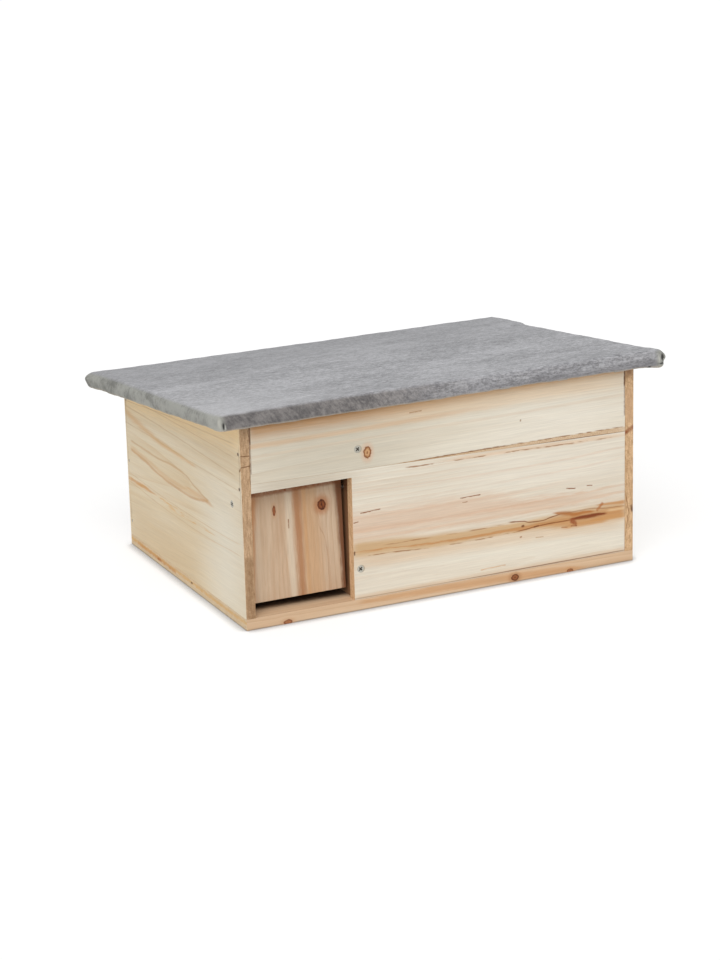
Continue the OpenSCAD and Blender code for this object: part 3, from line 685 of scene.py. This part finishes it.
# The felt lies on the roof board, turns down round its edge and under it into a hem. Lengths are in mm, in
# the roof's own directions: u along the front, v down the slope, n up from the board's underside. The tables
# run once round the edge, from 0 at the front left corner over 1 at the front right, 2 and 3 behind, to 4.
roofFelt = {
    "name": "roof_felt_cover",
    "node": "roof_felt",
    "slot": "roof_felt",
    "body": "roof",
    "origin": (0, -158, 197.5),
    "pitchDegrees": 5.7,
    "halfWidth": 230,
    "front": -12.29,
    "back": 328.86,
    "top": 11.5,
    "under": -1.5,
    "thick": 1.5,
    "air": 0.08,
    "hem": 8,
    "edgeRadius": 6,
    "foldRadius": 2.2,
    "proud": 1,
    "cornerRadius": 5,
    "stationStep": 2.5,
    "cornerReach": 14,
    "cornerSteps": 16,
    "flat": (0.502, 0.383),
    "lift": [(0, 0.2), (0.5, 0.3), (0.8, 1), (1, 2.3), (1.15, 2.1), (1.4, 1.3), (1.6, 0.4), (1.8, -0.1),
             (1.812, 1.3), (1.9, 1.4), (2, 0.9), (2.5, 0.2), (3, 0.3), (4, 0.2)],
    "roll": [(0, 1.2), (0.15, 1.6), (0.4, 2), (0.8, 1.9), (0.95, 1), (1, 0.4), (1.1, 0), (3.9, 0),
             (4, 1.2)],
    "out": [(0, -0.4), (0.5, 0), (1, 0), (1.2, 1.4), (1.4, 0.8), (1.62, 0), (1.8, -0.6), (1.812, 1.5),
            (2, 1.4), (2.3, 0), (3, 0.8), (3.2, 0.6), (3.6, 0), (4, -0.4)],
    "droop": [(0, 0.3), (0.3, 0.3), (0.6, -0.3), (0.9, -0.8), (0.955, -0.4), (1, 2), (1.03, 1.6),
              (1.1, 0.2), (1.3, -0.2), (2, 0.3), (2.7, 0.8), (3, 2), (3.25, 1.8), (3.6, 0.9), (4, 0.3)],
    # Loose corners: which, how far they stand out, and over what length.
    "ears": [
        ((1, -1), (6.6, 0.2), 22),
        ((-1, 1), (-4.4, 4.6), 22),
        ((1, 1), (0.8, 0.8), 20),
    ],
    # Folded ends, each its place, reach, depth and shade: lips stand out and are painted pale as a highlight,
    # pits go in and are painted dark as shade.
    "marks": [
        ((227.5, -13, 5), (1.5, 5, 5.5), -0.9, 0.5),
        ((232.4, -10.5, 6.6), (2.6, 6, 3.6), 3, -1.4),
        ((235.2, -7.5, 2.4), (1.8, 5, 2), 1.6, -1.2),
        ((234, -9, 4.2), (1, 5, 0.6), -0.6, 1.6),
        ((229.5, -12, 0.8), (4.6, 6, 0.9), 0.7, -1.1),
        ((216, -11.5, -1), (2.4, 3, 1.3), -0.9, -1.1),
        ((-229.4, -11, 5), (1.9, 4, 7), -0.7, 0.6),
        ((-226.4, -13.3, 3), (0.9, 4, 3.4), 1.6, -1.3),
        ((-224.6, -13.3, 1.4), (0.6, 4, 3), -0.5, 1),
    ],
}


def feltStations(felt):
    # Places round a rounded rectangle, closest at the corners: each as a point on the unit square, the way it
    # faces and how far round it is.
    halfDepth = (felt["back"] - felt["front"]) / 2.0
    quarter = np.linspace(0.0, math.pi / 2.0, felt["cornerSteps"])
    squares, ways, turns = [], [], []
    corners = [(-1.0, -1.0), (1.0, -1.0), (1.0, 1.0), (-1.0, 1.0)]
    reach = felt["cornerReach"]
    for k, start in enumerate(corners):
        end = corners[(k + 1) % 4]
        length = 2.0 * (felt["halfWidth"] if k % 2 == 0 else halfDepth) - 2.0 * felt["cornerRadius"]
        near = np.linspace(0.0, reach, 29)
        between = np.linspace(reach, length - reach, int((length - 2.0 * reach) / felt["stationStep"]))[1:-1]
        t = (np.concatenate([near, between, length - near[::-1]])[1:-1] / length)[:, None]
        side = np.array(start) * (1.0 - t) + np.array(end) * t
        turn = -math.pi / 2.0 + k * math.pi / 2.0
        squares += [side, np.tile(end, (len(quarter), 1))]
        angles = np.concatenate([np.full(len(t), turn), turn + quarter])
        ways.append(np.stack([np.cos(angles), np.sin(angles)], axis=1))
        turns += [k + t[:, 0], np.full(len(quarter), k + 1.0)]
    return np.concatenate(squares), np.concatenate(ways), np.concatenate(turns)


def feltProfile(felt):
    # Rows from the middle of the top, over the edge and under to the hem, then back inside: how far in from
    # the edge, and how high.
    halfDepth = (felt["back"] - felt["front"]) / 2.0
    top, under, proud = felt["top"], felt["under"], felt["proud"]
    fold, edge = felt["foldRadius"], felt["edgeRadius"]
    inner = felt["thick"] - felt["air"]
    hemEnd = felt["thick"] + felt["hem"]
    spread = halfDepth * np.array([1.0, 0.86, 0.72, 0.6, 0.48, 0.37, 0.28, 0.2, 0.14, 0.1, 0.07, 0.05])
    bend = np.radians(np.linspace(0.0, 90.0, 11))
    rows = [(s, top) for s in spread] + [(6.6, top)]
    rows += [(edge - proud - edge * math.sin(a), top - edge + edge * math.cos(a)) for a in bend]
    rows += [(-proud, n) for n in (4.8, 4.1, 3.4, 2.7, 2.0, 1.3)]
    rows += [(fold - proud - fold * math.cos(a), under + fold - fold * math.sin(a)) for a in bend]
    rows += [(s, under) for s in (2.5, 4.0, 5.5, 7.0, 8.2, hemEnd - 0.4)]
    rows += [(hemEnd, under + 0.35), (hemEnd, -0.35)]
    outer = len(rows)
    rows += [(s, -felt["air"]) for s in (hemEnd - 0.4, 6.5, 4.0, 2.0)]
    rows += [(inner, n) for n in (0.6, 4.0, 7.0, 9.4)]
    rows += [(s, top - inner) for s in (2.0, 4.0, 6.0)] + [(s, top - inner) for s in spread[::-1]]
    return np.array(rows), outer


def waves(distance, around, parts):
    # A sum of sines that closes on itself: each is how many waves go round, how high and where it starts.
    angle = 2.0 * math.pi * distance / around
    return sum(height * np.sin(count * angle + start) for count, height, start in parts)


def bell(value, width):
    # 1 where the value is 0 or less, falling off over the width.
    return np.exp(-((np.maximum(value, 0.0) / width) ** 2.0))


def table(turns, points):
    # Straight lines between the points of a table.
    return np.interp(turns, [point[0] for point in points], [point[1] for point in points])


def makeFelt(felt):
    # Every row of the profile at every station, pushed out by waves, ears and marks, lifted on top and let
    # hang below, then turned by the roof's pitch.
    square, way, turns = feltStations(felt)
    profile, outer = feltProfile(felt)
    halfDepth = (felt["back"] - felt["front"]) / 2.0
    half = np.array([felt["halfWidth"], halfDepth])
    middle = np.array([0.0, (felt["front"] + felt["back"]) / 2.0])
    radius = felt["cornerRadius"]
    edge = square * (half - radius) + way * radius
    steps = np.linalg.norm(np.roll(edge, -1, axis=0) - edge, axis=1)
    distance = np.concatenate([[0.0], np.cumsum(steps)[:-1]])
    around = steps.sum()
    inset, height = profile[:, 0][:, None], profile[:, 1][:, None]
    isOuter = (np.arange(len(profile)) < outer)[:, None]
    isHem = height < 0.0
    onEdge = bell(inset, 7.0)
    onSide = isOuter * onEdge * np.clip((11.4 - height) / 3.0, 0.0, 1.0)
    onSide = onSide * np.clip((height + 2.2) / 2.0, 0.3, 1.0)
    bulge = waves(distance, around, [(13, 0.16, 2.2), (31, 0.14, 5.1), (67, 0.12, 1.0), (131, 0.08, 3.3)])
    inset = inset - onSide * (table(turns, felt["out"]) + bulge)[None, :]
    shrink = np.maximum(inset, radius)
    place = middle + square[None] * (half - shrink[..., None])
    place = place + way[None] * np.maximum(radius - inset, 0.0)[..., None]
    nose = isOuter * bell(inset, 12.0) * (0.35 + 0.65 * np.exp(-(((height - 5.2) / 5.0) ** 2.0)))
    for corner, push, reach in felt["ears"]:
        atCorner = np.array(corner) * half + middle
        away = np.linalg.norm(edge + middle - atCorner, axis=1)
        weight = nose * bell(away, reach)[None, :]
        place = place + weight[..., None] * np.array(push)
    u, v = place[..., 0], place[..., 1]
    ripple = 0.18 * np.sin(u / 31.0 + v / 83.0) + 0.16 * np.sin(v / 27.0 - u / 120.0 + 1.3)
    ripple = ripple + 0.1 * np.sin(u / 13.0 + 2.0)
    crest = waves(distance, around, [(17, 0.14, 0.9), (37, 0.12, 2.8), (83, 0.1, 5.5)])
    onTop = np.clip((height - 2.0) / 9.0, 0.0, 1.0) * isOuter
    lift = table(turns, felt["lift"])[None, :] * bell(inset, 48.0)
    lift = lift + table(turns, felt["roll"])[None, :] * bell(inset, 24.0)
    rise = height + onTop * (0.25 + lift + ripple * np.clip(inset / 20.0, 0.0, 1.0) + crest[None, :] * onEdge)
    hang = table(turns, felt["droop"])
    hang = hang + waves(distance, around, [(9, 0.2, 0.4), (23, 0.18, 1.9), (41, 0.16, 4.0), (97, 0.12, 0.7)])
    low = np.clip((2.5 - height) / 4.0, 0.0, 1.0)
    rise = rise - low * np.where(isOuter, hang[None, :], np.where(isHem, np.maximum(hang, 0.0)[None, :], 0.0))
    rise = np.where(isOuter & isHem & (inset > 1.0), np.minimum(rise, -0.35), rise)
    mark = np.zeros_like(u)
    for spot, size, depth, shade in felt["marks"]:
        spread = sum(((value - at) / reach) ** 2.0 for value, at, reach in zip((u, v, rise), spot, size))
        weight = np.exp(-spread) * isOuter
        u = u - weight * depth * way[None, :, 0]
        v = v - weight * depth * way[None, :, 1]
        mark = mark + weight * shade
    pitch = math.radians(felt["pitchDegrees"])
    x = u + felt["origin"][0]
    y = felt["origin"][1] + v * math.cos(pitch) + rise * math.sin(pitch)
    z = felt["origin"][2] - v * math.sin(pitch) + rise * math.cos(pitch)
    points = np.stack([x, y, z], axis=-1).reshape(-1, 3) / mmPerMetre
    rowCount, count = len(profile), len(square)
    row, column = np.meshgrid(np.arange(rowCount - 1), np.arange(count), indexing="ij")
    after = (column + 1) % count
    here, below = row * count, (row + 1) * count
    faces = np.stack([here + column, below + column, below + after, here + after], axis=-1).reshape(-1, 4)
    mesh = bpy.data.meshes.new(felt["name"])
    mesh.from_pydata(points.tolist(), [], faces.tolist())
    turned = np.clip((11.46 - height) / 1.8, 0.0, 1.0) * np.ones((1, count))
    folded = isOuter * np.clip((0.4 - height) / 1.6, 0.0, 1.0) * bell(inset, 1.8)
    for name, values in (("drop", turned), ("fold", folded), ("mark", mark)):
        layer = mesh.attributes.new(name, "FLOAT", "POINT")
        layer.data.foreach_set("value", values.astype(np.float32).ravel())
    cleaned = bmesh.new()
    cleaned.from_mesh(mesh)
    bmesh.ops.remove_doubles(cleaned, verts=cleaned.verts, dist=2e-5)
    bmesh.ops.recalc_face_normals(cleaned, faces=cleaned.faces)
    cleaned.to_mesh(mesh)
    cleaned.free()
    mesh.shade_smooth()
    piece = placePiece(felt, mesh, feltMaterial())
    return piece


def feltMaterial():
    # Pressed grey fibres that run along the front. Where the felt turns down it is more mottled and painted
    # darker, as shade against the lit top.
    paint = newPaint("grey_roof_felt")
    place = paint.node("TexCoord", {}, {})
    metres = paint.node("SeparateXYZ", {}, {0: paint.wire(place, "Object")})
    x, y, z = (paint.wire(metres, axis) * mmPerMetre for axis in range(3))
    layers = [paint.node("Attribute", {"attribute_name": name}, {}) for name in ("drop", "fold", "mark")]
    turned, fold, mark = (paint.wire(layer, "Fac") for layer in layers)
    flow = y + (paint.noise((x * 0.015, y * 0.04, z * 0.04), 1.0) - 0.5) * 6.0
    fibre = paint.noise((x * 0.1, flow * 0.4, z * 0.4), 3.0, 0.66)
    thread = paint.noise((x * 0.26, flow * 0.8, z * 0.8), 2.0, 0.6)
    hair = paint.ramp(paint.noise((x * 0.2, flow * 0.6 - x * 0.03, z * 0.6 + 9.0), 2.0), 0.62, 0.74)
    broad = paint.noise((x * 0.012, y * 0.03, z * 0.05), 3.0)
    fuzz = paint.noise((x, y, z), 3.0, 0.7, 0.6)
    mottle = paint.noise((x * 0.05, y * 0.06, z * 0.1), 3.0, 0.6)
    shade = fibre * 0.34 + thread * 0.3 + broad * 0.16 + fuzz * 0.2
    top = paint.mix(paint.ramp(shade, 0.38, 0.62), (119, 119, 122), (200, 200, 204))
    top = paint.mix(hair * 0.36, top, (214, 214, 216))
    top = paint.mix(paint.ramp(y, -60.0, 170.0) * 0.45, top, (140, 140, 143))
    lit = paint.ramp(x, -40.0, -230.0) * paint.ramp(y, 40.0, -170.0)
    top = paint.mix(lit * 0.42, top, (206, 206, 208))
    slant = paint.noise((x * 0.3 + z * 0.18, y * 0.3, z * 0.16), 3.0, 0.66)
    shade = mottle * 0.4 + slant * 0.4 + fuzz * 0.2
    edge = paint.mix(paint.ramp(shade, 0.38, 0.62), (92, 89, 89), (150, 145, 142))
    edge = paint.mix(paint.ramp(x, -20.0, -160.0) * 0.35, edge, (96, 93, 92))
    edge = paint.mix(paint.ramp(x, -90.0, 50.0) * 0.8, edge, paint.mix(0.2, top, (120, 118, 120)))
    pitch = math.radians(roofFelt["pitchDegrees"])
    above = (y - roofFelt["origin"][1]) * math.sin(pitch) + (z - roofFelt["origin"][2]) * math.cos(pitch)
    low = paint.ramp(above + (mottle - 0.5) * 8.0, 7.0, 2.0) * paint.ramp(x, -60.0, 120.0)
    edge = paint.mix(low * 0.5, edge, (104, 102, 104))
    blotch = paint.noise((x * 0.02, y * 0.03, z * 0.05 + 4.0), 2.0, 0.5)
    shade = slant * 0.35 + blotch * 0.65
    side = paint.mix(paint.ramp(shade, 0.38, 0.62), (108, 108, 102), (157, 157, 150))
    side = paint.mix(paint.ramp(y, -80.0, -168.0) * 0.4, side, (178, 178, 170))
    edge = paint.mix(paint.ramp(abs(x), 222.0, 229.0), edge, side)
    # the turned-down felt takes the darker edge tones: painted shade
    colour = paint.mix(turned, top, edge)
    # The fold into the hem shows as a thin pale line under the edge.
    colour = paint.mix(fold * 0.5, colour, (206, 192, 170))
    # painted highlight on the folded lips, then painted shade in the pits and slits
    colour = paint.mix(paint.ramp(mark, 0.05, 0.9) * 0.7, colour, (206, 204, 194))
    colour = paint.mix(paint.ramp(mark, -0.1, -0.9) * 0.92, colour, (34, 32, 30))
    fixed = {"Specular IOR Level": 0.1, "Sheen Weight": 0.2, "Sheen Roughness": 0.6}
    return paint.finish(colour, fuzz * 0.1 + 0.88, thread * 0.6 + fuzz * 0.6 + hair * 0.2, 0.0005, fixed)


feltPiece = makeFelt(roofFelt)
print("felt made", len(feltPiece.data.polygons))


# Metal: bright zinc, darker and duller on the nails and the right pivot screw, the darkness on the nails
# painted shade of their sunk heads. A recess is painted dark, as shade, from a level inwards: which axis, the
# level in mm and the way in.
metal = {
    "bright": {"name": "zinc_plate", "dark": (128, 129, 127), "light": (190, 191, 189), "roughness": 0.34},
    "dullShaded": {"name": "dull_nail_painted_shade", "dark": (84, 76, 68), "light": (142, 134, 124), "roughness": 0.5},
    "front": {"name": "front_screw", "dark": (140, 138, 128), "light": (212, 208, 196), "roughness": 0.38,
              "recess": (1, -158.0, 1.0)},
    "left": {"name": "pivot_screw", "dark": (140, 138, 128), "light": (212, 208, 196), "roughness": 0.38,
             "recess": (0, -206.5, 1.0)},
    "other": {"partition_screws": "front", "left_pivot_screw": "left", "right_pivot_screw": "dullShaded",
              "front_corner_nails": "dullShaded", "floor_nails": "dullShaded"},
}


def metalMaterial(spec):
    # Two noises mix the dark and the light tone, and the finer one is the roughness and the bump too.
    paint = newPaint(spec["name"])
    place = paint.wire(paint.node("TexCoord", {}, {}), "Object")
    fine = paint.noise(place, 3.0, 0.6, 900.0)
    broad = paint.noise(place, 2.0, 0.5, 160.0)
    colour = paint.mix(broad * 0.6 + fine * 0.4, spec["dark"], spec["light"])
    if "recess" in spec:
        axis, level, way = spec["recess"]
        along = paint.wire(paint.node("SeparateXYZ", {}, {0: place}), axis)
        depth = along * (mmPerMetre * way) - level * way
        # painted shade in the screw head's recess
        colour = paint.mix(paint.ramp(depth, 0.05, 0.5), colour, (96, 91, 84))
    return paint.finish(colour, fine * 0.2 + spec["roughness"], fine, 0.00004, {"Metallic": 1.0})


metals = {kind: metalMaterial(metal[kind]) for kind in ("bright", "dullShaded", "front", "left")}
for entry in frame["record"]["subparts"]:
    if entry["material_slot"] == "zinc_steel":
        node = frame["nodes"][entry["node"]]
        node.data.materials.clear()
        node.data.materials.append(metals[metal["other"].get(entry["node"], "bright")])
print("metal dressed")

# The studio: white light from all sides, a soft key from the upper left of the front, a pale floor.
studio = {
    "fill": 0.5,
    "keyFrom": (-0.36, -0.6, 0.72),
    "keyStrength": 1.75,
    "keyAngle": 50.0,
    "floorHalf": 14.0,
    "floorGlow": 1.24,
    "floorShare": 0.5,
    "contactShadowReach": 0.016,
    "contactShadowTone": 0.2,
}


def makeStudio(spec):
    # The world lights by its fill and looks white. The floor glows by its share, with a painted contact shadow
    # where a piece is near.
    scene.world = bpy.data.worlds.new("studio")
    sky = Paint(scene.world)
    white = {"Color": (1.0, 1.0, 1.0, 1.0)}
    fill = sky.node("Background", {}, {**white, "Strength": spec["fill"]})
    looks = sky.node("Background", {}, white)
    choice = sky.node("MixShader", {}, {0: sky.seen(), 1: sky.wire(fill), 2: sky.wire(looks)})
    sky.node("OutputWorld", {}, {"Surface": sky.wire(choice)})
    light = bpy.data.lights.new("key", "SUN")
    light.energy = spec["keyStrength"]
    light.angle = math.radians(spec["keyAngle"])
    key = bpy.data.objects.new("key", light)
    scene.collection.objects.link(key)
    key.rotation_mode = "QUATERNION"
    key.rotation_quaternion = Vector(spec["keyFrom"]).to_track_quat("Z", "Y")
    half = spec["floorHalf"]
    mesh = bpy.data.meshes.new("floor")
    corners = [(-half, -half, 0.0), (half, -half, 0.0), (half, half, 0.0), (-half, half, 0.0)]
    mesh.from_pydata(corners, [], [(0, 1, 2, 3)])
    floor = bpy.data.objects.new("studio_floor", mesh)
    scene.collection.objects.link(floor)
    paint = newPaint("pale_floor")
    # painted contact shadow: the floor's glow darkens where ambient occlusion finds a piece near
    near = paint.node("AmbientOcclusion", {"samples": 8}, {"Distance": spec["contactShadowReach"]})
    shaded = paint.grey(paint.ramp(paint.wire(near, "AO"), 0.5, 0.9, spec["contactShadowTone"], 1.0))
    glow = paint.node("Emission", {}, {"Color": shaded, "Strength": spec["floorGlow"]})
    matt = paint.node("BsdfDiffuse", {}, {"Color": (0.92, 0.92, 0.92, 1.0)})
    share = paint.seen() * spec["floorShare"]
    both = paint.node("MixShader", {}, {0: share, 1: paint.wire(matt), 2: paint.wire(glow)})
    paint.node("OutputMaterial", {}, {"Surface": paint.wire(both)})
    mesh.materials.append(paint.owner)


makeStudio(studio)
print("studio made")
